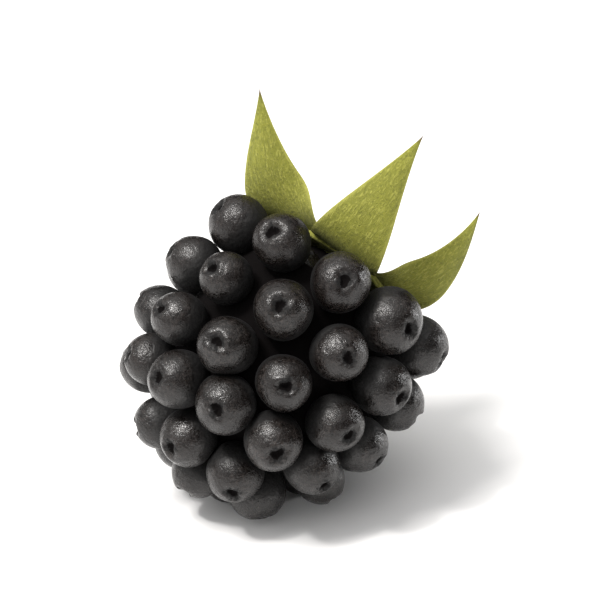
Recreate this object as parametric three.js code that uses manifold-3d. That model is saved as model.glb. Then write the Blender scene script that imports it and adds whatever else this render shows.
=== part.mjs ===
// A picked bramble berry lying on its side: one fruit of many drupelets grown together on a
// receptacle, a green calyx of five free sepals round a small disc, and a short cut stalk.
// Millimetres, +Z up. The berry is drawn upright about its own axis, tip down and calyx up at
// z = 0, and then leaned over until it rests on its drupelets.

import * as THREE from 'three';
import { mergeVertices } from 'three/addons/utils/BufferGeometryUtils.js';
import Module from 'manifold-3d';

const wasm = await Module();
wasm.setup();

// ---- driving dimensions ----

const DRUPELET_RADIUS = 2.22;
const DRUPELET_SIDES = 10;
const DRUPELET_BANDS = 6;
const DRUPELET_LENGTHEN = 1.05; // along its own axis, root to apex
const SIZE_SCATTER = 0.08; // largest change of a drupelet's size, as a share of it
const PLACE_SCATTER = 0.22; // largest shift of a drupelet from its place in the row
const SCATTER_PHASE = 42; // picks one arrangement of the small changes

// Rows of drupelets from the calyx to the tip. z and radius place the drupelets' centres,
// start is the azimuth of the first one, face is how far its apex looks down towards the tip,
// both in degrees, and size is its size against DRUPELET_RADIUS.
const ROWS = [
  { z: -5, radius: 5.1, count: 8, start: 24, face: -52, size: 0.78 },
  { z: -4.6, radius: 8.7, count: 10, start: 8, face: -2, size: 1.08 },
  { z: -9, radius: 9.6, count: 11, start: -7, face: 3, size: 1 },
  { z: -13.5, radius: 9.45, count: 11, start: 13, face: 8, size: 1 },
  { z: -17.3, radius: 8.15, count: 11, start: -4, face: 22, size: 0.97 },
  { z: -20.8, radius: 4.5, count: 6, start: 34, face: 45, size: 0.97 },
  { z: -21.9, radius: 0.3, count: 1, start: 0, face: 90, size: 0.9 },
];

const CORE_TOP_Z = -2.6;
const CORE_NECK_RADIUS = 2.6;
const CORE_DEPTH = 0.55; // how far the receptacle's surface lies below the drupelets' centres
const CORE_SIDES = 24;

const CALYX_Z = -1.8;
const CALYX_TILT_FORWARD = 5; // degrees, lifts the side of the calyx that faces forward
const CALYX_TILT_SIDE = 1.5; // degrees, lowers the side of the calyx at azimuth 90

const SEPAL_THICKNESS = 0.5;
const SEPAL_START_RADIUS = 2.15;
const SEPAL_COLLAR_Z = 0.1;
const SEPAL_WEDGE = 33.5; // degrees, half of a sepal's share of the collar
const SEPAL_GAP = 0.3; // between neighbours where their blades meet side by side
const SEPAL_CUP = 0.5; // how far the edges stand above the midrib at the widest place
const SEPAL_SIDES = 12;
const SEPAL_BANDS = 20;

// The midrib's two control points: how far out each lies, as a share of the reach, for a
// spreading and an upright blade, and how high it lies before the sag is taken off.
const MIDRIB_OUT = { spreading: 0.5, upright: 0.7, height: -0.2 };
const MIDRIB_BEND = { spreading: 0.66, upright: 1.16, shareOfRise: 0.32 };

const BLADE_SWELL = 0.47; // a lower power brings the widest place nearer the collar
const BLADE_TAPER = 1.15; // a higher power draws the tip out finer
const CUP_FROM = 0.2; // shares of the blade's length over which the cup and the twist grow
const CUP_TO = 0.6;
const TWIST_FROM = 0.1;
const TWIST_TO = 0.5;
const HOOK_POWER = 3; // keeps the sideways hook near the tip

// Sepals in order round the calyx. reach and rise place the tip, width is the widest place,
// hook moves the tip sideways, sag lowers the middle of the blade towards the fruit, steep is 0
// for a spreading blade and 1 for an upright one, and twist turns the blade about its midrib.
const SEPALS = [
  { azimuth: -64, reach: 13.9, rise: 5.7, width: 6.3, hook: -0.2, sag: 1.35, steep: 0, twist: 45 },
  { azimuth: 1, reach: 9.3, rise: 9.3, width: 6.1, hook: -0.1, sag: 2.5, steep: 0.8, twist: 0 },
  { azimuth: 68, reach: 7.2, rise: 8.6, width: 4.9, hook: 0, sag: 1.8, steep: 1.15, twist: -42 },
  { azimuth: 141, reach: 9.4, rise: 7.6, width: 6.2, hook: -0.6, sag: 1.2, steep: 0.4, twist: -12 },
  { azimuth: -139, reach: 10.8, rise: 5, width: 6.2, hook: 0.5, sag: 1.1, steep: 0.2, twist: 14 },
];

// Radius and height of the disc that joins the sepals to the stalk.
const DISC_PROFILE = [
  [0, -0.5],
  [1.6, -0.5],
  [1.8, -0.2],
  [1.8, 0.35],
  [1.35, 0.8],
  [0.9, 0.95],
  [0, 0.95],
];
const DISC_SIDES = 20;

const STALK_RADIUS = 0.85;
const STALK_FOOT_Z = 1.25; // a small gap above the disc
const STALK_LENGTH = 3.6;
const STALK_BEND = [0.28, 0.7]; // how far the cut end lies off the foot, along X and Y
const STALK_SIDES = 12;
const STALK_STEPS = 6;

const LEAN_HEADING = 39.5; // degrees from +X, the way the calyx end points on the ground
const LEAN_ANGLE = 46.5; // degrees from upright
const ROLL = -50; // degrees about the berry's own axis
const PRESS = 0.34; // depth of the flats pressed on the drupelets that carry the berry
const PRESS_BLOCK = { side: 60, height: 10 }; // larger than the berry, stands for the ground

const WELD_DISTANCE = 1e-4;

// ---- helpers ----

// An even, repeatable value from -0.5 to 0.5 for each whole number.
function scatter(index) {
  const value = Math.sin(index * 12.9898 + SCATTER_PHASE) * 43758.5453;
  return value - Math.floor(value) - 0.5;
}

// Azimuth 0 is the berry's front, -Y, and azimuth 90 is +X.
function outward(azimuthDegrees) {
  const azimuth = THREE.MathUtils.degToRad(azimuthDegrees);
  return new THREE.Vector3(Math.sin(azimuth), -Math.cos(azimuth), 0);
}

// Welds a geometry and leaves out the empty triangles at its poles.
function welded(geometry) {
  const bare = new THREE.BufferGeometry();
  bare.setAttribute('position', geometry.getAttribute('position'));
  if (geometry.index) {
    bare.setIndex(geometry.index);
  }
  const merged = mergeVertices(bare, WELD_DISTANCE);
  const kept = [];
  for (let i = 0; i < merged.index.count; i += 3) {
    const corners = [0, 1, 2].map((k) => merged.index.getX(i + k));
    if (new Set(corners).size === 3) {
      kept.push(...corners);
    }
  }
  merged.setIndex(kept);
  return merged;
}

function toSolid(geometry) {
  const clean = welded(geometry);
  return new wasm.Manifold(new wasm.Mesh({
    numProp: 3,
    vertProperties: new Float32Array(clean.getAttribute('position').array),
    triVerts: new Uint32Array(clean.index.array),
  }));
}

function toGeometry(solid) {
  const mesh = solid.getMesh();
  const geometry = new THREE.BufferGeometry();
  geometry.setAttribute('position', new THREE.BufferAttribute(mesh.vertProperties, 3));
  geometry.setIndex(new THREE.BufferAttribute(mesh.triVerts, 1));
  geometry.computeVertexNormals();
  return geometry;
}

function lathe(points, sides) {
  const profile = points.map(([radius, height]) => new THREE.Vector2(radius, height));
  return new THREE.LatheGeometry(profile, sides).rotateX(Math.PI / 2);
}

// ---- fruit ----

function drupelets() {
  const places = [];
  for (const row of ROWS) {
    for (let i = 0; i < row.count; i += 1) {
      const key = places.length * 4;
      const turn = (2 * PLACE_SCATTER * scatter(key)) / Math.max(row.radius, DRUPELET_RADIUS);
      const azimuth = row.start + (360 / row.count) * i + THREE.MathUtils.radToDeg(turn);
      const face = THREE.MathUtils.degToRad(row.face);
      const centre = outward(azimuth).multiplyScalar(row.radius);
      centre.z = row.z + 2 * PLACE_SCATTER * scatter(key + 1);
      const apex = outward(azimuth).multiplyScalar(Math.cos(face));
      apex.z = -Math.sin(face);
      const size = row.size * (1 + 2 * SIZE_SCATTER * scatter(key + 2));
      places.push({ centre, apex, radius: DRUPELET_RADIUS * size });
    }
  }
  return places;
}

function drupeletGeometry({ centre, apex, radius }) {
  const up = new THREE.Vector3(0, 1, 0);
  return new THREE.SphereGeometry(radius, DRUPELET_SIDES, DRUPELET_BANDS)
    .scale(1, DRUPELET_LENGTHEN, 1)
    .applyQuaternion(new THREE.Quaternion().setFromUnitVectors(up, apex))
    .translate(centre.x, centre.y, centre.z);
}

function receptacleGeometry() {
  const shoulder = ROWS.slice(1, -1).map((row) => {
    const face = THREE.MathUtils.degToRad(row.face);
    return [row.radius - CORE_DEPTH * Math.cos(face), row.z + CORE_DEPTH * Math.sin(face)];
  });
  const tipZ = ROWS[ROWS.length - 1].z + CORE_DEPTH;
  return lathe([
    [0, tipZ],
    ...shoulder.reverse(),
    [ROWS[0].radius, ROWS[0].z + CORE_DEPTH],
    [CORE_NECK_RADIUS, CORE_TOP_Z],
    [0, CORE_TOP_Z],
  ], CORE_SIDES);
}

function fruitSolid() {
  let solid = toSolid(receptacleGeometry());
  for (const place of drupelets()) {
    solid = solid.add(toSolid(drupeletGeometry(place)));
  }
  return solid;
}

// ---- calyx ----

function sepalCurve({ reach, rise, sag, steep }) {
  const out = THREE.MathUtils.lerp(MIDRIB_OUT.spreading, MIDRIB_OUT.upright, steep);
  const bend = THREE.MathUtils.lerp(MIDRIB_BEND.spreading, MIDRIB_BEND.upright, steep);
  return new THREE.CubicBezierCurve(
    new THREE.Vector2(SEPAL_START_RADIUS, SEPAL_COLLAR_Z),
    new THREE.Vector2(out * reach, MIDRIB_OUT.height - sag),
    new THREE.Vector2(bend * reach, MIDRIB_BEND.shareOfRise * rise - sag),
    new THREE.Vector2(reach, rise),
  );
}

// Half the blade's width at a share of its length: broad low down, then a drawn-out tip.
function sepalHalfWidth(share, width, radius) {
  const swell = Math.sin(Math.PI * Math.pow(share, BLADE_SWELL));
  const blade = Math.pow(Math.max(swell, 0), BLADE_TAPER);
  const wedge = radius * Math.tan(THREE.MathUtils.degToRad(SEPAL_WEDGE)) - SEPAL_GAP / 2;
  return Math.min(0.5 * width * blade, wedge);
}

// The blade is a ball drawn out along the curve, its sections flattened into a shallow cup.
function sepalGeometry(sepal) {
  const curve = sepalCurve(sepal);
  const geometry = new THREE.SphereGeometry(1, SEPAL_SIDES, SEPAL_BANDS);
  const position = geometry.getAttribute('position');
  const point = new THREE.Vector3();
  for (let i = 0; i < position.count; i += 1) {
    point.fromBufferAttribute(position, i);
    const share = Math.acos(THREE.MathUtils.clamp(point.y, -1, 1)) / Math.PI;
    const ring = Math.hypot(point.x, point.z);
    const atPole = ring < 1e-6;
    const across = atPole ? 0 : point.x / ring;
    const through = atPole ? 0 : point.z / ring;
    const middle = curve.getPointAt(share);
    const along = curve.getTangentAt(share);
    const half = atPole ? 0 : sepalHalfWidth(share, sepal.width, middle.x);
    const thin = atPole ? 0 : 0.5 * SEPAL_THICKNESS * Math.sqrt(Math.sin(Math.PI * share));
    const wide = across * half;
    const cup = SEPAL_CUP * THREE.MathUtils.smoothstep(share, CUP_FROM, CUP_TO);
    const lift = through * thin + cup * across * across * ((2 * half) / sepal.width);
    const turned = THREE.MathUtils.smoothstep(share, TWIST_FROM, TWIST_TO);
    const twist = THREE.MathUtils.degToRad(sepal.twist) * turned;
    const side = wide * Math.cos(twist) - lift * Math.sin(twist);
    const inward = wide * Math.sin(twist) + lift * Math.cos(twist);
    position.setXYZ(
      i,
      side + sepal.hook * Math.pow(share, HOOK_POWER),
      along.y * inward - middle.x,
      middle.y + along.x * inward,
    );
  }
  return welded(geometry).rotateZ(THREE.MathUtils.degToRad(sepal.azimuth));
}

function stalkGeometry() {
  const [bendX, bendY] = STALK_BEND;
  const path = new THREE.QuadraticBezierCurve3(
    new THREE.Vector3(0, 0, STALK_FOOT_Z),
    new THREE.Vector3(0, 0, STALK_FOOT_Z + 0.5 * STALK_LENGTH),
    new THREE.Vector3(bendX, bendY, STALK_FOOT_Z + STALK_LENGTH),
  );
  const section = new THREE.Shape();
  section.absarc(0, 0, STALK_RADIUS, 0, 2 * Math.PI, false);
  return new THREE.ExtrudeGeometry(section, {
    extrudePath: path,
    steps: STALK_STEPS,
    curveSegments: STALK_SIDES,
  });
}

// ---- the berry as a scene ----

const skin = new THREE.MeshStandardMaterial({ color: 0x2b2727, roughness: 0.5, metalness: 0 });
const leaf = new THREE.MeshStandardMaterial({ color: 0x8f9040, roughness: 0.75, metalness: 0 });
const stem = new THREE.MeshStandardMaterial({ color: 0x84853f, roughness: 0.8, metalness: 0 });

function named(name, geometry, material) {
  const mesh = new THREE.Mesh(geometry, material.clone());
  mesh.name = name;
  return mesh;
}

const calyx = new THREE.Group();
calyx.position.z = CALYX_Z;
calyx.rotation.set(
  THREE.MathUtils.degToRad(-CALYX_TILT_FORWARD),
  THREE.MathUtils.degToRad(CALYX_TILT_SIDE),
  0,
);
calyx.add(named('calyx_base', welded(lathe(DISC_PROFILE, DISC_SIDES)), leaf));
calyx.add(named('pedicel_stub', welded(stalkGeometry()), stem));
SEPALS.forEach((sepal, i) => {
  calyx.add(named(`sepal_${i + 1}`, sepalGeometry(sepal), leaf));
});

const rolled = new THREE.Group();
rolled.rotation.z = THREE.MathUtils.degToRad(ROLL);
rolled.add(calyx);

const berry = new THREE.Group();
berry.rotation.order = 'ZYX';
berry.rotation.y = THREE.MathUtils.degToRad(LEAN_ANGLE);
berry.rotation.z = THREE.MathUtils.degToRad(LEAN_HEADING);
berry.add(rolled);
berry.updateMatrixWorld(true);

// The berry's weight presses a small flat on each drupelet that it rests on.
function rested(solid) {
  const pose = rolled.matrixWorld;
  const shape = toGeometry(solid);
  const low = shape.clone().applyMatrix4(pose);
  low.computeBoundingBox();
  const floor = low.boundingBox.min.z + PRESS;
  const block = new THREE.BoxGeometry(PRESS_BLOCK.side, PRESS_BLOCK.side, PRESS_BLOCK.height)
    .translate(0, 0, floor - PRESS_BLOCK.height / 2)
    .applyMatrix4(pose.clone().invert());
  return { solid: solid.subtract(toSolid(block)), floor };
}

const fruit = rested(fruitSolid());
rolled.add(named('fruit', toGeometry(fruit.solid), skin));
berry.position.z = -fruit.floor;
berry.updateMatrixWorld(true);

const middle = new THREE.Box3().setFromObject(berry, true).getCenter(new THREE.Vector3());
berry.position.x = -middle.x;
berry.position.y = -middle.y;
berry.updateMatrixWorld(true);

export default berry;
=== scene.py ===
"""A picked bramble berry: near-black drupelets on one receptacle, a felted green calyx and a
short cut stalk. Lengths in this script are millimetres until a mesh is made, in metres."""

import math

import bmesh
import bpy
import numpy as np
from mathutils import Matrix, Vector


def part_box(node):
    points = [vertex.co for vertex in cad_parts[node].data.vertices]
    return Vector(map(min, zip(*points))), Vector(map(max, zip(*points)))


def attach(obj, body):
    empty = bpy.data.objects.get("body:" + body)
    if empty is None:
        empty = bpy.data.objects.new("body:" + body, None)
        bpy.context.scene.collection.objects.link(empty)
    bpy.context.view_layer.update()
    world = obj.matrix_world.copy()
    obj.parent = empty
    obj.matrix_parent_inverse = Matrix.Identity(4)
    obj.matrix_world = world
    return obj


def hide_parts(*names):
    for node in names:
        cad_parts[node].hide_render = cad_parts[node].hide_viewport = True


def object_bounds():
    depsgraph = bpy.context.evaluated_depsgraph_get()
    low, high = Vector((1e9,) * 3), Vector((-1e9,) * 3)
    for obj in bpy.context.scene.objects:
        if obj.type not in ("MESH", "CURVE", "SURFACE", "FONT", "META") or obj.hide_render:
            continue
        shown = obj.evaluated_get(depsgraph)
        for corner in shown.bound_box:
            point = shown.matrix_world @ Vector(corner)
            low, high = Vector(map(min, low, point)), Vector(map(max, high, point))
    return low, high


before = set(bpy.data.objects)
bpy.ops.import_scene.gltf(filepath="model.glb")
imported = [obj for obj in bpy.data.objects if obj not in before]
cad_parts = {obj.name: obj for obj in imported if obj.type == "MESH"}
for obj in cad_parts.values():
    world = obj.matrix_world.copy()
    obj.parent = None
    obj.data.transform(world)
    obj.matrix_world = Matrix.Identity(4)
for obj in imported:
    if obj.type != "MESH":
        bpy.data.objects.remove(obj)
cad_low, cad_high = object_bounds()

MM = 0.001

# ---- the berry's plan, as the CAD model has it ----

DRUPELET_RADIUS = 2.22
DRUPELET_LENGTHEN = 1.05
SIZE_SCATTER = 0.08
PLACE_SCATTER = 0.22
SCATTER_PHASE = 42
# z, radius, count, start azimuth, how far the apex looks down, size
ROWS = [
    (-5, 5.1, 8, 24, -52, 0.78),
    (-4.6, 8.7, 10, 8, -2, 1.08),
    (-9, 9.6, 11, -7, 3, 1),
    (-13.5, 9.45, 11, 13, 8, 1),
    (-17.3, 8.15, 11, -4, 22, 0.97),
    (-20.8, 4.5, 6, 34, 45, 0.97),
    (-21.9, 0.3, 1, 0, 90, 0.9),
]
CORE_TOP_Z = -2.6
CORE_NECK_RADIUS = 2.6
GROOVE_DEPTH = 1.7  # the skin between the drupelets lies deeper than the CAD core

CALYX_Z = -1.8
CALYX_TILT_FORWARD = 5
CALYX_TILT_SIDE = 1.5
SEPAL_START_RADIUS = 2.15
SEPAL_COLLAR_Z = 0.1
SEPAL_WEDGE = 33.5
SEPAL_CUP = 0.5
# azimuth, reach, rise, width, hook, sag, steep, twist
SEPALS = [
    (-64, 13.9, 5.7, 6.3, -0.2, 1.35, 0, 45),
    (1, 9.3, 9.3, 6.1, -0.1, 2.5, 0.8, 0),
    (68, 7.2, 8.6, 4.9, 0, 1.8, 1.15, -42),
    (141, 9.4, 7.6, 6.2, -0.6, 1.2, 0.4, -12),
    (-139, 10.8, 5, 6.2, 0.5, 1.1, 0.2, 14),
]
# radius and height
DISC_PROFILE = [(1.6, -0.5), (1.8, -0.2), (1.8, 0.35), (1.35, 0.8), (0.9, 0.95)]
DISC_TOP_Z = 0.95
DISC_SIDES = 20
STALK_RADIUS = 0.85
STALK_FOOT_Z = 1.25
STALK_LENGTH = 3.6
STALK_BEND = (0.28, 0.7)

LEAN_HEADING = 39.5
LEAN_ANGLE = 46.5
ROLL = -50


def turn(axis, degrees):
    """A 3 by 3 rotation about x, y or z."""
    c, s = math.cos(math.radians(degrees)), math.sin(math.radians(degrees))
    return np.array({
        "x": [[1, 0, 0], [0, c, -s], [0, s, c]],
        "y": [[c, 0, s], [0, 1, 0], [-s, 0, c]],
        "z": [[c, -s, 0], [s, c, 0], [0, 0, 1]],
    }[axis], float)


BERRY_TURN = turn("z", LEAN_HEADING) @ turn("y", LEAN_ANGLE) @ turn("z", ROLL)
CALYX_TURN = turn("x", -CALYX_TILT_FORWARD) @ turn("y", CALYX_TILT_SIDE)


def berry_place():
    """Where the berry's own origin lies: the CAD disc's box, against the disc's outline turned
    the same way."""
    rim = np.array([
        (r * math.sin(a), -r * math.cos(a), z)
        for r, z in DISC_PROFILE
        for a in np.arange(DISC_SIDES) * 2 * math.pi / DISC_SIDES
    ])
    turned = (rim @ CALYX_TURN.T + [0, 0, CALYX_Z]) @ BERRY_TURN.T
    low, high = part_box("calyx_base")
    middle = (np.array(low) + np.array(high)) / 2 / MM
    return middle - (turned.min(0) + turned.max(0)) / 2


BERRY_PLACE = berry_place()


def fruit_to_row(points):
    return points @ BERRY_TURN.T + BERRY_PLACE


def calyx_to_row(points):
    return fruit_to_row(points @ CALYX_TURN.T + [0, 0, CALYX_Z])


def scatter(index):
    """An even, repeatable value from -0.5 to 0.5 for each whole number."""
    value = math.sin(index * 12.9898 + SCATTER_PHASE) * 43758.5453
    return value - math.floor(value) - 0.5


def outward(azimuth):
    """Azimuth 0 is the berry's front and azimuth 90 its right."""
    return np.array([math.sin(azimuth), -math.cos(azimuth), 0.0])


# ---- mesh helpers ----

def new_object(name, points, faces, material, fields=None):
    """A mesh object from points in millimetres in the row's frame. fields are values, or
    vectors, for each point, which the materials read."""
    mesh = bpy.data.meshes.new(name)
    mesh.from_pydata((np.asarray(points) * MM).tolist(), [], faces)
    mesh.update()
    for key, values in (fields or {}).items():
        add_field(mesh, key, values)
    mesh.polygons.foreach_set("use_smooth", [True] * len(mesh.polygons))
    mesh.materials.append(material)
    made = bpy.data.objects.new(name, mesh)
    bpy.context.scene.collection.objects.link(made)
    return made


def add_field(mesh, key, values):
    values = np.asarray(values, np.float32)
    kind = "FLOAT_VECTOR" if values.ndim == 2 else "FLOAT"
    field = mesh.attributes.new(key, kind, "POINT")
    field.data.foreach_set("vector" if values.ndim == 2 else "value", values.ravel())


def shell_faces(rings, sides, start=0):
    """Faces of a closed shell: a pole, then rings of points, then a pole. They face outward
    where the rings turn anticlockwise, seen from the first pole."""

    def ring(j, i):
        return start + 1 + j * sides + i % sides

    first, last = start, start + rings * sides + 1
    faces = [(first, ring(0, i), ring(0, i + 1)) for i in range(sides)]
    for j in range(rings - 1):
        faces += [
            (ring(j, i), ring(j + 1, i), ring(j + 1, i + 1), ring(j, i + 1))
            for i in range(sides)
        ]
    faces += [(last, ring(rings - 1, i + 1), ring(rings - 1, i)) for i in range(sides)]
    return faces


def even_steps(outline, count):
    """count points at even distances along an outline, as two rows: x and y."""
    xs, ys = np.array(outline).T
    length = np.concatenate([[0], np.cumsum(np.hypot(np.diff(xs), np.diff(ys)))])
    steps = np.linspace(0, length[-1], count)
    return np.interp(steps, length, xs), np.interp(steps, length, ys)


def lathe_points(profile, sides, flute=0.0, flutes=0):
    """Points of a turned shape, in the order of shell_faces. The profile's radii and heights
    start and end on the axis. flute is the depth of its shallow flutes, as a share."""
    around = np.arange(sides) * 2 * math.pi / sides
    radii, heights = np.array(profile[1:-1]).T
    swell = 1 + flute * np.cos(flutes * around)
    rings = np.stack([
        np.outer(radii, np.sin(around) * swell),
        -np.outer(radii, np.cos(around) * swell),
        np.repeat(heights[:, None], sides, 1),
    ], 2).reshape(-1, 3)
    return np.concatenate([[[0, 0, profile[0][1]]], rings, [[0, 0, profile[-1][1]]]])


def turned_over(faces):
    return [tuple(reversed(face)) for face in faces]


def point_values(mesh):
    points = np.zeros(len(mesh.vertices) * 3)
    mesh.vertices.foreach_get("co", points)
    return points.reshape(-1, 3) / MM


# ---- node helpers ----

class Nodes:
    """A small way to write a material's node tree. Noise scales are in turns for each
    millimetre, and bump distances are in millimetres."""

    COLOR_A, COLOR_B, COLOR_OUT = 6, 7, 2  # a Mix node's colour sockets

    def __init__(self, name):
        self.material = bpy.data.materials.new(name)
        self.material.use_nodes = True
        self.tree = self.material.node_tree
        self.shader = self.tree.nodes["Principled BSDF"]

    def add(self, kind, settings=None, **inputs):
        node = self.tree.nodes.new("ShaderNode" + kind)
        for key, value in (settings or {}).items():
            setattr(node, key, value)
        for key, value in inputs.items():
            self.feed(node.inputs[key.replace("_", " ")], value)
        return node

    def feed(self, socket, value):
        if isinstance(value, bpy.types.NodeSocket):
            self.tree.links.new(value, socket)
        elif isinstance(value, tuple) and len(value) == 3 and socket.type == "RGBA":
            socket.default_value = (*value, 1)
        else:
            socket.default_value = value

    def field(self, name, vector=False):
        node = self.add("Attribute", {"attribute_name": name, "attribute_type": "GEOMETRY"})
        return node.outputs["Vector" if vector else "Fac"]

    def place(self):
        """The surface point in millimetres."""
        coordinates = self.add("TexCoord").outputs["Object"]
        scaled = self.add("VectorMath", {"operation": "SCALE"}, Vector=coordinates, Scale=1 / MM)
        return scaled.outputs[0]

    def noise(self, vector, scale, detail=3.0, roughness=0.55, distortion=0.0):
        node = self.add(
            "TexNoise", {"normalize": True}, Vector=vector, Scale=scale, Detail=detail,
            Roughness=roughness, Distortion=distortion,
        )
        return node.outputs["Fac"]

    def stretch(self, vector, scale):
        node = self.add("VectorMath", {"operation": "MULTIPLY"}, Vector=vector)
        node.inputs[1].default_value = scale
        return node.outputs[0]

    def math(self, operation, a, b=None, clamp=False):
        node = self.add("Math", {"operation": operation, "use_clamp": clamp})
        self.feed(node.inputs[0], a)
        if b is not None:
            self.feed(node.inputs[1], b)
        return node.outputs[0]

    def ramp(self, value, low, high, out_low=0.0, out_high=1.0, kind="SMOOTHSTEP"):
        node = self.add("MapRange", {"interpolation_type": kind, "clamp": True}, Value=value)
        node.inputs["From Min"].default_value = low
        node.inputs["From Max"].default_value = high
        node.inputs["To Min"].default_value = out_low
        node.inputs["To Max"].default_value = out_high
        return node.outputs["Result"]

    def mix(self, share, a, b):
        node = self.add("Mix", {"data_type": "RGBA"})
        self.feed(node.inputs["Factor"], share)
        self.feed(node.inputs[self.COLOR_A], a)
        self.feed(node.inputs[self.COLOR_B], b)
        return node.outputs[self.COLOR_OUT]

    def bump(self, height, distance, strength=1.0, normal=None):
        node = self.add("Bump", Height=height, Distance=distance * MM, Strength=strength)
        if normal is not None:
            self.feed(node.inputs["Normal"], normal)
        return node.outputs["Normal"]

    def surface(self, **inputs):
        for key, value in inputs.items():
            self.feed(self.shader.inputs[key.replace("_", " ")], value)
        return self.material


# ---- materials ----

SKIN_DARK = (0.0042, 0.0032, 0.0028)
SKIN_LIGHT = (0.0090, 0.0068, 0.0060)
SKIN_BLOOM = (0.046, 0.0385, 0.0350)
SKIN_SPECK = (0.003, 0.0024, 0.0022)
PIT_SCAR_AND_SHADE_BLACK = (0.0012, 0.0009, 0.0009)
PIT_SHADE = (0.46, 0.82)  # millimetres from the apex, over which the pit's dark fades: partly the dark style scar, partly painted shade in the hollow
# near-black painted shade for the grooves between the drupelets and the pits' floors
PIT_TEAR = 0.34
GROOVE_SHADE_BLACK = (0.0016, 0.0012, 0.0012)
GROOVE_SHADE_BROWN = (0.004, 0.003, 0.003)
SEPAL_BODY = (0.235, 0.240, 0.030)
SEPAL_EDGE = (0.46, 0.45, 0.10)
# a darker green for random patches and specks, and for painted shade at the blades' bases
SEPAL_DARK_AND_SHADE = (0.110, 0.115, 0.016)
DRY_TIP = (0.10, 0.055, 0.02)
STALK_GREEN = (0.17, 0.19, 0.045)
STALK_PALE = (0.33, 0.33, 0.11)
STALK_DRY = (0.22, 0.12, 0.06)
CUT_EDGE = (0.15, 0.10, 0.045)
PITH_PALE = (0.50, 0.47, 0.28)
PITH_DARK = (0.36, 0.34, 0.17)
FLOOR_WHITES = ((0.93, 0.93, 0.93), (0.95, 0.95, 0.95))


def drupelet_skin():
    """Satin near-black skin with a patchy bloom. It goes black and rough in the pits, partly the
    dark style scar and partly painted shade in their hollows, and black towards each drupelet's
    base as painted shade.
    """
    n = Nodes("drupelet_skin")
    place = n.place()
    apex = n.field("apex")
    height = n.field("height")
    tone = n.field("tone")
    fine = n.noise(place, 3.6, 4.0, 0.65)
    grain = n.noise(place, 7.0, 3.0, 0.6)
    patch = n.noise(place, 0.8, 3.0, 0.5)
    bloom = n.math("MULTIPLY", n.ramp(patch, 0.3, 0.7), n.ramp(fine, 0.42, 0.7))
    dark = n.mix(tone, SKIN_DARK, SKIN_LIGHT)
    color = n.mix(n.math("MULTIPLY", bloom, 0.7), dark, SKIN_BLOOM)
    color = n.mix(n.ramp(fine, 0.46, 0.34), color, SKIN_SPECK)
    tear = n.noise(place, 2.6, 3.0, 0.6)
    ragged = n.math("ADD", apex, n.ramp(tear, 0.3, 0.7, -PIT_TEAR, PIT_TEAR, "LINEAR"))
    pit = n.ramp(ragged, *PIT_SHADE)
    # painted shade: the skin turns black towards each drupelet's base (root) and in its pit (pit),
    # the pit partly its dark style scar
    root = n.ramp(height, 0.05, 0.6)
    color = n.mix(n.math("MULTIPLY", pit, root), PIT_SCAR_AND_SHADE_BLACK, color)
    rough = n.ramp(grain, 0.38, 0.62, 0.10, 0.36, "LINEAR")
    rough = n.math("ADD", rough, n.ramp(ragged, *PIT_SHADE, 0.6, 0.0), clamp=True)
    rough = n.math("ADD", rough, n.ramp(height, 0.05, 0.5, 0.5, 0.0), clamp=True)
    wrinkles = n.noise(place, 1.4, 5.0, 0.6, 0.5)
    normal = n.bump(wrinkles, 0.20, 0.6)
    normal = n.bump(fine, 0.050, 0.8, normal)
    normal = n.bump(grain, 0.022, 0.8, normal)
    return n.surface(
        Base_Color=color, Roughness=rough, Normal=normal, Specular_IOR_Level=0.46,
    )


def groove_shade_skin():
    """Dull near-black painted shade, for the grooves between the drupelets and the floors of the
    pits.
    """
    n = Nodes("groove_shade_skin")
    grain = n.noise(n.place(), 5.0, 3.0)
    color = n.mix(grain, GROOVE_SHADE_BLACK, GROOVE_SHADE_BROWN)
    return n.surface(Base_Color=color, Roughness=0.95, Specular_IOR_Level=0.1)


def felt():
    """Downy leaf: fine fibres along the blade, pale edges, a browned tip, painted shade at the
    base.
    """
    n = Nodes("sepal_felt")
    place = n.place()
    blade = n.field("blade", vector=True)
    along = n.field("along")
    rim = n.field("rim")
    fibres = n.noise(n.stretch(blade, (7.0, 1.6, 1.0)), 1.0, 4.0, 0.66, 0.8)
    down = n.noise(place, 5.0, 4.0, 0.7)
    patch = n.noise(place, 0.35, 2.0, 0.5)
    color = n.mix(n.ramp(patch, 0.3, 0.7), n.mix(0.35, SEPAL_BODY, SEPAL_DARK_AND_SHADE), SEPAL_BODY)
    color = n.mix(n.math("MULTIPLY", n.ramp(fibres, 0.48, 0.66), 0.55), color, SEPAL_EDGE)
    color = n.mix(n.math("MULTIPLY", n.ramp(down, 0.5, 0.34), 0.65), color, SEPAL_DARK_AND_SHADE)
    color = n.mix(n.math("MULTIPLY", n.ramp(rim, 0.84, 1.0), 0.55), color, SEPAL_EDGE)
    # painted shade: the blade darkens towards its base, where it meets the calyx and the fruit
    color = n.mix(n.ramp(along, 0.05, 0.35, 0.6, 0.0), color, SEPAL_DARK_AND_SHADE)
    color = n.mix(n.ramp(along, 0.935, 0.985), color, DRY_TIP)
    normal = n.bump(fibres, 0.16, 0.9)
    normal = n.bump(down, 0.10, 0.9, normal)
    return n.surface(
        Base_Color=color, Roughness=n.ramp(fibres, 0.3, 0.7, 0.62, 0.85, "LINEAR"),
        Normal=normal, Specular_IOR_Level=0.3, Sheen_Weight=0.15, Sheen_Roughness=0.5,
        Sheen_Tint=(0.85, 0.9, 0.6),
    )


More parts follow.
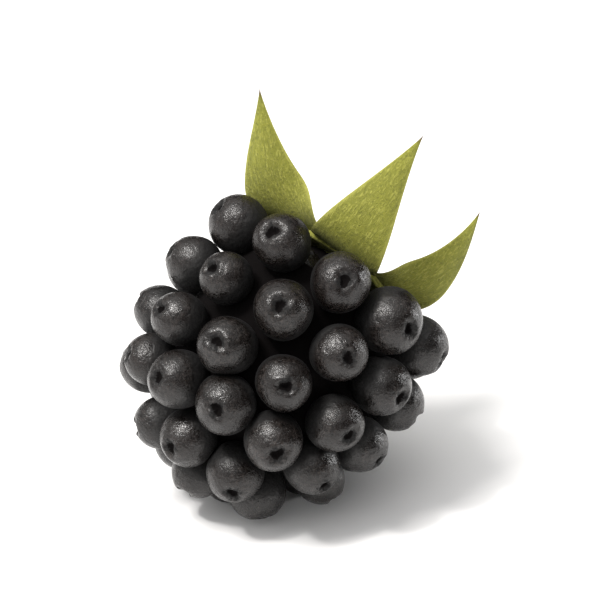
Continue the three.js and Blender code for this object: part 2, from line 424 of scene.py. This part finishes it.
def stalk_skin():
    """Ridged green stalk that browns towards its cut end, with pale pith."""
    n = Nodes("stalk_skin")
    place = n.place()
    cut = n.field("cut")
    along = n.field("along")
    ridges = n.noise(n.stretch(n.field("blade", vector=True), (3.2, 0.5, 1.0)), 1.0, 3.0, 0.6)
    down = n.noise(place, 7.0, 4.0, 0.6)
    color = n.mix(n.ramp(ridges, 0.3, 0.7), STALK_GREEN, STALK_PALE)
    color = n.mix(n.ramp(along, 0.55, 1.0, 0.0, 0.45), color, STALK_DRY)
    pith = n.mix(n.ramp(down, 0.3, 0.7), PITH_PALE, PITH_DARK)
    color = n.mix(n.ramp(cut, 0.55, 0.8), color, CUT_EDGE)
    color = n.mix(n.ramp(cut, 0.85, 1.0), color, pith)
    normal = n.bump(ridges, 0.08, 0.8)
    normal = n.bump(down, 0.05, 0.8, normal)
    return n.surface(Base_Color=color, Roughness=0.72, Normal=normal, Specular_IOR_Level=0.3)


def paper_white():
    n = Nodes("floor_white")
    speckle = n.noise(n.place(), 0.02, 2.0)
    color = n.mix(speckle, *FLOOR_WHITES)
    return n.surface(Base_Color=color, Roughness=0.9, Specular_IOR_Level=0.1)


# ---- camera ----

CAMERA_ELEVATION = 27
CAMERA_LENS = 180
FRAME_FILL = 0.72
DEPTH_SHOWN = 0.45  # how much of the berry's depth adds to its height in the picture


def camera():
    low, high = np.array(cad_low), np.array(cad_high)
    middle = (low + high) / 2
    _, deep, upright = high - low
    away = math.radians(CAMERA_ELEVATION)
    tall = upright * math.cos(away) + deep * math.sin(away) * DEPTH_SHOWN
    data = bpy.data.cameras.new("camera")
    data.lens = CAMERA_LENS
    data.clip_start = 0.01
    data.clip_end = 20
    distance = tall / FRAME_FILL * CAMERA_LENS / data.sensor_width
    made = bpy.data.objects.new("camera", data)
    made.location = middle + distance * np.array([0, -math.cos(away), math.sin(away)])
    made.rotation_euler = (math.pi / 2 - away, 0, 0)
    bpy.context.scene.collection.objects.link(made)
    bpy.context.scene.camera = made


# ---- fruit ----

FRUIT_SEED = 20
TONE_SEED = 7
SKIN_SIDES = 48
SKIN_BANDS = 36
PIT_DEPTH = 0.62
PIT_RADIUS = 0.50
PIT_FLOOR = 0.92  # of the drupelet's radius: the skin below this is a pit's floor
PIT_REACH = 1.1
PIT_LIP = 0.06
LIP_PLACE = 1.75  # both in pit radii
LIP_WIDTH = 0.5
STYLE_HEIGHT = 0.10  # the dried remnant at the middle of the pit
STYLE_RADIUS = 0.12
CREASES = 9
CREASE_HEIGHT = 0.012
CREASE_WIDTH = 0.45
REACH_TO_MEET = 1.08  # drupelets further apart than this times both radii don't press
PRESS_START = 0.25
PRESS_SOFTNESS = 0.07
CORE_SIDES = 96
CORE_STEPS = 46
AXIS_GAP = 0.02  # the poles of the receptacle's profile, just off its axis
SHOULDER_RISE = 0.2
SHARP_ANGLE = 55
SLIVER = 0.002
NECK = 0.05  # the thin gap that neighbours keep where they press together


def drupelets():
    """The centre, apex direction and radius of each drupelet, row by row."""
    places = []
    for z, radius, count, start, face, size in ROWS:
        face = math.radians(face)
        for i in range(count):
            key = len(places) * 4
            sway = 2 * PLACE_SCATTER * scatter(key) / max(radius, DRUPELET_RADIUS)
            azimuth = math.radians(start + 360 / count * i) + sway
            centre = outward(azimuth) * radius
            centre[2] = z + 2 * PLACE_SCATTER * scatter(key + 1)
            apex = outward(azimuth) * math.cos(face)
            apex[2] = -math.sin(face)
            grown = size * (1 + 2 * SIZE_SCATTER * scatter(key + 2))
            places.append((centre, apex, DRUPELET_RADIUS * grown))
    return places


def bell(value, width):
    return np.exp(-((value / width) ** 2))


def polar_grid():
    """Angles from the apex for each ring, closer together near the apex, and angles round it."""
    share = np.arange(1, SKIN_BANDS) / SKIN_BANDS
    polar = math.pi * (0.62 * share + 0.38 * share**2.2)
    return polar, np.arange(SKIN_SIDES) * 2 * math.pi / SKIN_SIDES


def drupelet_points(place, chance):
    """A lumpy ball with a ragged pit at its apex, from the pole at the apex to the other pole."""
    centre, apex, radius = place
    polar, around = polar_grid()
    polar, around = np.meshgrid(polar, around, indexing="ij")
    polar = np.concatenate([[0], polar.ravel(), [math.pi]])
    around = np.concatenate([[0], around.ravel(), [0]])
    waves = chance.uniform(0, 2 * math.pi, 12)
    sink = np.sin(polar)
    lumps = (
        0.018 * np.cos(2 * around + waves[0]) * sink**2
        + 0.013 * np.cos(3 * around + waves[1]) * sink**3
        + 0.014 * np.cos(2 * polar + waves[2])
        + 0.010 * np.cos(3 * polar + waves[3])
        + 0.006 * np.cos(5 * around + waves[4]) * np.sin(2 * polar + waves[5]) * sink
    )
    reach = radius * (1 + lumps)
    ragged = 1 + 0.20 * np.cos(2 * around + waves[6]) + 0.14 * np.cos(3 * around + waves[7])
    arc = polar * radius / ragged
    depth = PIT_DEPTH * chance.uniform(0.75, 1.2)
    wide = PIT_RADIUS * chance.uniform(0.85, 1.2)
    reach -= depth * bell(arc, wide)
    lip = 0.5 + 0.5 * np.cos(around * chance.integers(1, 4) + waves[9])
    reach += PIT_LIP * lip * bell(arc - LIP_PLACE * wide, LIP_WIDTH * wide)
    reach += STYLE_HEIGHT * bell(arc, STYLE_RADIUS)
    crease = np.cos(CREASES * around + waves[8]) * bell(arc - 1.3 * wide, CREASE_WIDTH)
    reach += CREASE_HEIGHT * crease
    side = np.cross(apex, [0.3, 0.5, 0.8])
    side /= np.linalg.norm(side)
    across = np.cross(apex, side)
    local = np.stack([
        reach * sink * np.cos(around),
        reach * sink * np.sin(around),
        reach * np.cos(polar) * DRUPELET_LENGTHEN,
    ], 1)
    return local @ np.stack([side, across, apex]) + centre


def soft_over(value, softness):
    """How far value is over zero, with a rounded start."""
    return 0.5 * (value + np.sqrt(value * value + softness * softness))


def press_together(points, index, places):
    """Flattens a drupelet where it would meet a neighbour, halfway between the two."""
    centre, _, radius = places[index]
    for other, (far, _, reach) in enumerate(places):
        gap = far - centre
        apart = np.linalg.norm(gap)
        if other == index or apart > REACH_TO_MEET * (radius + reach):
            continue
        facing = gap / apart
        wall = (apart**2 + radius**2 - reach**2) / (2 * apart) - NECK / 2
        over = (points - centre) @ facing - wall
        push = np.where(over > -PRESS_START, soft_over(over, PRESS_SOFTNESS), 0)
        points = points - facing * push[:, None]
    return points


def receptacle_points():
    """The core that the drupelets stand on. It lies GROOVE_DEPTH behind their centres."""
    tip_z = ROWS[-1][0] + GROOVE_DEPTH
    profile = [(AXIS_GAP, tip_z)]
    for z, radius, _, _, face, _ in reversed(ROWS[1:-1]):
        face = math.radians(face)
        profile.append((radius - GROOVE_DEPTH * math.cos(face), z + GROOVE_DEPTH * math.sin(face)))
    profile.append((ROWS[0][1], ROWS[0][0] + SHOULDER_RISE))
    profile.append((CORE_NECK_RADIUS, CORE_TOP_Z))
    profile.append((AXIS_GAP, CORE_TOP_Z))
    radii, heights = even_steps(profile[::-1], CORE_STEPS)
    inner = list(zip(radii[1:-1], heights[1:-1]))
    points = lathe_points([(0, CORE_TOP_Z), *inner, (0, tip_z)], CORE_SIDES)
    return points, shell_faces(len(inner), CORE_SIDES)


def unite(body, adder):
    """Joins adder to body as one closed surface, and each keeps its own material."""
    join = body.modifiers.new("join", "BOOLEAN")
    join.operation = "UNION"
    join.solver = "MANIFOLD"
    join.material_mode = "TRANSFER"
    join.object = adder
    bpy.context.view_layer.objects.active = body
    bpy.context.view_layer.update()
    bpy.ops.object.modifier_apply(modifier=join.name)
    bpy.data.objects.remove(adder)
    clear_slivers(body.data)


def clear_slivers(mesh):
    """Merges the points that a join leaves on top of each other, and takes out the fins, which
    are two faces back to back on the same three points."""
    work = bmesh.new()
    work.from_mesh(mesh)
    bmesh.ops.remove_doubles(work, verts=work.verts, dist=SLIVER * MM)
    bmesh.ops.dissolve_degenerate(work, edges=work.edges, dist=SLIVER * MM)
    bmesh.ops.triangulate(work, faces=work.faces)
    work.verts.index_update()
    sides = {}
    for face in work.faces:
        sides.setdefault(frozenset(point.index for point in face.verts), []).append(face)
    fins = [face for pair in sides.values() if len(pair) > 1 for face in pair]
    bmesh.ops.delete(work, geom=fins, context="FACES")
    work.to_mesh(mesh)
    work.free()


def fruit(material, groove_shade_material):
    """All the drupelets pressed together and grown onto the receptacle, flat where they rest."""
    chance = np.random.default_rng(FRUIT_SEED)
    places = drupelets()
    points, faces = [], []
    for index, place in enumerate(places):
        own = press_together(drupelet_points(place, chance), index, places)
        own = fruit_to_row(own)
        own[:, 2] = np.maximum(own[:, 2], 0.0)
        faces += shell_faces(SKIN_BANDS - 1, SKIN_SIDES, len(points) * len(own))
        points.append(own)
    skins = new_object("fruit_skins", np.concatenate(points), faces, material)
    core_points, core_faces = receptacle_points()
    # the receptacle shows only in the grooves and is coloured near-black, as painted shade
    made = new_object("berry_fruit", fruit_to_row(core_points), core_faces, groove_shade_material)
    unite(made, skins)
    paint_fruit(made.data, places, groove_shade_material)
    made.data.set_sharp_from_angle(angle=math.radians(SHARP_ANGLE))
    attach(made, "root")
    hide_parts("fruit")


def paint_fruit(mesh, places, pit_shade_material):
    """Gives each point its distance from its drupelet's apex, its height between the
    receptacle and the apex, and its drupelet's tone. The pits' floors get the near-black
    painted-shade material."""
    points = (point_values(mesh) - BERRY_PLACE) @ BERRY_TURN
    chance = np.random.default_rng(TONE_SEED)
    tones = chance.uniform(0, 1, len(places))
    best = np.full(len(points), np.inf)
    apex_field, height_field, tone_field = (np.zeros(len(points)) for _ in range(3))
    for (centre, apex, radius), tone in zip(places, tones):
        offset = points - centre
        far = np.linalg.norm(offset, axis=1)
        near = far / radius
        height = offset @ apex / np.maximum(far, 1e-6)
        mine = near < best
        best[mine] = near[mine]
        apex_field[mine] = (np.arccos(np.clip(height, -1, 1)) * radius)[mine]
        height_field[mine] = (height * near)[mine]
        tone_field[mine] = tone
    add_field(mesh, "apex", apex_field)
    add_field(mesh, "height", height_field)
    add_field(mesh, "tone", tone_field)
    corners = [np.array(face.vertices) for face in mesh.polygons]
    sunken = np.array([best[ids].mean() for ids in corners]) < PIT_FLOOR
    capped = np.array([apex_field[ids].mean() for ids in corners]) < PIT_REACH
    kinds = np.zeros(len(corners), np.int32)
    mesh.polygons.foreach_get("material_index", kinds)
    # the pits' floors take the near-black painted-shade material
    kinds[sunken & capped] = mesh.materials.find(pit_shade_material.name)
    mesh.polygons.foreach_set("material_index", kinds)


# ---- calyx ----

SEPAL_SEED = 50  # each sepal adds its own number
BLADE_BANDS = 110
BLADE_SIDES = 56
BLADE_THICKNESS = 0.3
BLADE_SWELL = 0.47
BLADE_TAPER = 1.15
BASE_OVERLAP = 2.0  # degrees that a blade's base is wider than the CAD model's, on each side
RIB_HEIGHT = 0.035
RIB_WIDTH = 0.22
EDGE_RIPPLE = 0.10
CURVE_STEPS = 401
# radius and height, from the middle of the top, out over the collar and back underneath
BASE_PROFILE = [
    (0, 1.07),
    (1.105, 1.07),
    (1.9, 0.62),
    (2.5, 0.15),
    (3.4, -0.15),
    (4.6, -0.6),
    (4.6, -1.1),
    (3.3, -0.95),
    (2.5, -0.6),
    (1.0, -0.75),
    (0, -0.8),
]
BASE_STEPS = 90
BASE_SIDES = 80
BASE_FLUTE = 0.02
BASE_FLUTES = 10
STALK_SIDES = 56
STALK_STEPS = 70
STALK_FOOT_SWELL = 0.32
STALK_FOOT_FADE = 0.08  # as a share of the length
STALK_TAPER = 0.06
STALK_RIDGE = 0.035
STALK_FINE_RIDGE = 0.02
# of the cut end: share of the radius, drop below the top, and how much of it is cut
STALK_CUT = [(0.97, 0.03, 0.6), (0.9, 0.05, 0.8), (0.8, 0.03, 1), (0.55, -0.02, 1), (0.3, -0.03, 1)]
CUT_SLANT = 0.10
CUT_TOWARD = 0.6  # radians
CUT_RISE = 0.04
PITH_RISE = 0.05


def bezier(ends, share):
    share = share[:, None]
    a, b, c, d = (np.array(p, float) for p in ends)
    rest = 1 - share
    return rest**3 * a + 3 * rest**2 * share * b + 3 * rest * share**2 * c + share**3 * d


def sepal_curve(reach, rise, sag, steep, shares):
    """Points and directions of the midrib at even shares of its length."""
    ends = (
        (SEPAL_START_RADIUS, SEPAL_COLLAR_Z),
        ((0.5 + 0.2 * steep) * reach, -0.2 - sag),
        ((0.66 + 0.5 * steep) * reach, 0.32 * rise - sag),
        (reach, rise),
    )
    fine = np.linspace(0, 1, CURVE_STEPS)
    line = bezier(ends, fine)
    length = np.concatenate([[0], np.cumsum(np.linalg.norm(np.diff(line, axis=0), axis=1))])
    at = np.interp(shares * length[-1], length, fine)
    middle = bezier(ends, at)
    ahead, behind = bezier(ends, np.minimum(at + 1e-3, 1)), bezier(ends, np.maximum(at - 1e-3, 0))
    along = ahead - behind
    along /= np.linalg.norm(along, axis=1)[:, None]
    return middle, along, length[-1]


def sepal_half_width(share, width, radius):
    """Half the blade's width: pointed at the tip, and inside its own wedge at the base."""
    blade = np.clip(np.sin(math.pi * share**BLADE_SWELL), 0, None) ** BLADE_TAPER
    wedge = radius * math.tan(math.radians(SEPAL_WEDGE + BASE_OVERLAP))
    return np.minimum(0.5 * width * blade, wedge)


def smoothstep(value, low, high):
    """A soft step from 0 at low to 1 at high."""
    share = np.clip((value - low) / (high - low), 0, 1)
    return share * share * (3 - 2 * share)


def sepal(number, plan, material):
    """A pointed blade round its midrib, cupped and twisted as the CAD model has it, with a
    raised midrib, faint veins and rippled edges."""
    azimuth, reach, rise, width, hook, sag, steep, twist = plan
    chance = np.random.default_rng(SEPAL_SEED + number)
    waves = chance.uniform(0, 2 * math.pi, 6)
    rings = np.arange(1, BLADE_BANDS) / BLADE_BANDS
    around = np.arange(BLADE_SIDES) * 2 * math.pi / BLADE_SIDES
    share, spin = np.meshgrid(rings, around, indexing="ij")
    share = np.concatenate([[0], share.ravel(), [1]])
    spin = np.concatenate([[0], spin.ravel(), [0]])
    pole = np.ones(len(share))
    pole[[0, -1]] = 0
    middle, along, length = sepal_curve(reach, rise, sag, steep, share)
    half = sepal_half_width(share, width, middle[:, 0]) * pole
    across, through = np.cos(spin) * pole, np.sin(spin) * pole
    thin = 0.5 * BLADE_THICKNESS * np.sqrt(np.clip(np.sin(math.pi * share), 0, 1))
    ripple = EDGE_RIPPLE * np.sin(9 * share + waves[0]) * np.abs(across) ** 3 * (1 - share)
    rib = RIB_HEIGHT * bell(across * half, RIB_WIDTH) * (1 - share)
    veins = 0.4 * RIB_HEIGHT * np.cos(across * 13 + waves[1]) * (1 - across**2) * (1 - share)
    cup = SEPAL_CUP * smoothstep(share, 0.2, 0.6)
    lift = through * (thin + rib + veins) + cup * across**2 * 2 * half / width
    lift = lift + ripple * smoothstep(share, 0.25, 0.6)
    wide = across * half
    turned = math.radians(twist) * smoothstep(share, 0.1, 0.5)
    side = wide * np.cos(turned) - lift * np.sin(turned) + hook * share**3
    inward = wide * np.sin(turned) + lift * np.cos(turned)
    points = np.stack([
        side,
        along[:, 1] * inward - middle[:, 0],
        middle[:, 1] + along[:, 0] * inward,
    ], 1) @ turn("z", azimuth).T
    faces = turned_over(shell_faces(BLADE_BANDS - 1, BLADE_SIDES))
    made = new_object(
        f"berry_sepal_{number}", calyx_to_row(points), faces, material, {
            "blade": np.stack([wide, share * length, np.full(len(share), number * 7.0)], 1),
            "along": share,
            "rim": np.abs(across),
        },
    )
    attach(made, "root")
    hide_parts(f"sepal_{number}")


def calyx_base(material):
    """The disc that the sepals grow from, with a thin collar under their bases."""
    radii, heights = even_steps(BASE_PROFILE, BASE_STEPS)
    profile = list(zip(rounded_off(radii), rounded_off(heights)))
    profile[0], profile[-1] = (0, profile[0][1]), (0, profile[-1][1])
    points = lathe_points(profile, BASE_SIDES, BASE_FLUTE, BASE_FLUTES)
    rings = BASE_STEPS - 2
    share = np.concatenate([[0], np.repeat(np.linspace(0, 1, rings), BASE_SIDES), [1]])
    spin = np.concatenate([[0], np.tile(np.arange(BASE_SIDES) / BASE_SIDES, rings), [0]])
    made = new_object(
        "berry_calyx_base", calyx_to_row(points), shell_faces(rings, BASE_SIDES), material, {
            "blade": np.stack([spin * 12, share * 5, np.zeros(len(share))], 1),
            # along also gives the disc a little painted shade at the middle of its top
            "along": 0.2 + 0.4 * share,
            "rim": np.zeros(len(share)),
        },
    )
    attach(made, "root")
    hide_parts("calyx_base")


def rounded_off(values):
    """A running mean of five."""
    return np.convolve(np.pad(values, 2, "edge"), np.ones(5) / 5, "valid")


def stalk(material):
    """A short ridged stalk that widens at its foot, bends a little and ends in a slanting cut."""
    foot = DISC_TOP_Z - 0.1
    top = STALK_FOOT_Z + STALK_LENGTH
    sides = STALK_SIDES
    share = np.linspace(0, 1, STALK_STEPS)
    bend = smoothstep(share, 0.2, 1.6) * 2
    path = np.stack([
        STALK_BEND[0] * bend * share,
        STALK_BEND[1] * bend * share,
        foot + (top - foot) * share,
    ], 1)
    swell = STALK_FOOT_SWELL * np.exp(-share / STALK_FOOT_FADE)
    radius = STALK_RADIUS * (1.0 + swell - STALK_TAPER * share)
    around = np.arange(sides) * 2 * math.pi / sides
    rings, cuts, shares, spins = [], [], [], []
    for at, size, middle in zip(share, radius, path):
        flute = 1 + STALK_RIDGE * np.cos(5 * around)
        flute = flute + STALK_FINE_RIDGE * np.cos(9 * around + 1 + 2 * at)
        rings.append(np.stack([
            middle[0] + size * flute * np.sin(around),
            middle[1] - size * flute * np.cos(around),
            np.full(sides, middle[2]),
        ], 1))
        cuts.append(np.zeros(sides))
        shares.append(np.full(sides, at))
        spins.append(around * STALK_RADIUS)
    last = rings[-1]
    for inset, drop, cut in STALK_CUT:
        ring = (last - path[-1]) * [inset, inset, 1] + path[-1] + [0, 0, CUT_RISE - drop]
        ring[:, 2] += CUT_SLANT * inset * np.cos(around - CUT_TOWARD)
        rings.append(ring)
        cuts.append(np.full(sides, cut))
        shares.append(np.ones(sides))
        spins.append(around * STALK_RADIUS * inset)
    points = np.concatenate([[path[0]], *rings, [path[-1] + [0, 0, PITH_RISE]]])
    cut = np.concatenate([[0], *cuts, [1]])
    along = np.concatenate([[0], *shares, [1]])
    spin = np.concatenate([[0], *spins, [0]])
    faces = turned_over(shell_faces(len(rings), sides))
    made = new_object("berry_stalk", calyx_to_row(points), faces, material, {
        "blade": np.stack([spin, along * STALK_LENGTH, np.zeros(len(along))], 1),
        "along": along,
        "cut": cut,
    })
    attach(made, "root")
    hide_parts("pedicel_stub")


# ---- studio ----

FLOOR_HALF = 1.5
SKY_TOWARD = (-0.35, -0.15, 0.925)
SKY_COLOR = (1, 0.99, 0.98, 1)
SKY_GLOW = {"From Min": 0.2, "From Max": 1.0, "To Min": 0.02, "To Max": 1.6}
LIT_POINT = (0, 0, 0.013)
# name, place, size, power, colour
LIGHTS = [
    ("key", (-0.20, -0.14, 0.47), 0.14, 2.0, (1, 0.97, 0.94)),
    ("glint", (-0.24, -0.16, 0.44), 0.035, 0.75, (1, 0.98, 0.96)),
    ("rim", (0.30, 0.10, 0.06), 0.06, 0.3, (1, 1, 1)),
]


def floor(material):
    half = FLOOR_HALF
    mesh = bpy.data.meshes.new("floor")
    corners = [(-half, -half, 0), (half, -half, 0), (half, half, 0), (-half, half, 0)]
    mesh.from_pydata(corners, [], [(0, 1, 2, 3)])
    mesh.materials.append(material)
    made = bpy.data.objects.new("floor", mesh)
    bpy.context.scene.collection.objects.link(made)


def softbox(name, where, size, power, color):
    """A square area light that looks at the berry."""
    data = bpy.data.lights.new(name, "AREA")
    data.size = size
    data.energy = power
    data.color = color
    made = bpy.data.objects.new(name, data)
    made.location = where
    toward = Vector(LIT_POINT) - Vector(where)
    made.rotation_euler = toward.to_track_quat("-Z", "Y").to_euler()
    bpy.context.scene.collection.objects.link(made)


def overhead_sky():
    """A large soft light from above, in front and to the left, dark all round it."""
    world = bpy.data.worlds.new("studio")
    world.use_nodes = True
    tree = world.node_tree
    direction = tree.nodes.new("ShaderNodeTexCoord").outputs["Generated"]
    facing = tree.nodes.new("ShaderNodeVectorMath")
    facing.operation = "DOT_PRODUCT"
    facing.inputs[1].default_value = SKY_TOWARD
    tree.links.new(direction, facing.inputs[0])
    glow = tree.nodes.new("ShaderNodeMapRange")
    glow.interpolation_type = "SMOOTHSTEP"
    for key, value in SKY_GLOW.items():
        glow.inputs[key].default_value = value
    tree.links.new(facing.outputs["Value"], glow.inputs["Value"])
    tree.nodes["Background"].inputs["Color"].default_value = SKY_COLOR
    tree.links.new(glow.outputs["Result"], tree.nodes["Background"].inputs["Strength"])
    bpy.context.scene.world = world


def studio():
    overhead_sky()
    for light in LIGHTS:
        softbox(*light)
    bpy.context.scene.view_settings.view_transform = "Standard"


camera()
floor(paper_white())
studio()
fruit(drupelet_skin(), groove_shade_skin())
green = felt()
for number, plan in enumerate(SEPALS, 1):
    sepal(number, plan, green)
calyx_base(green)
stalk(stalk_skin())
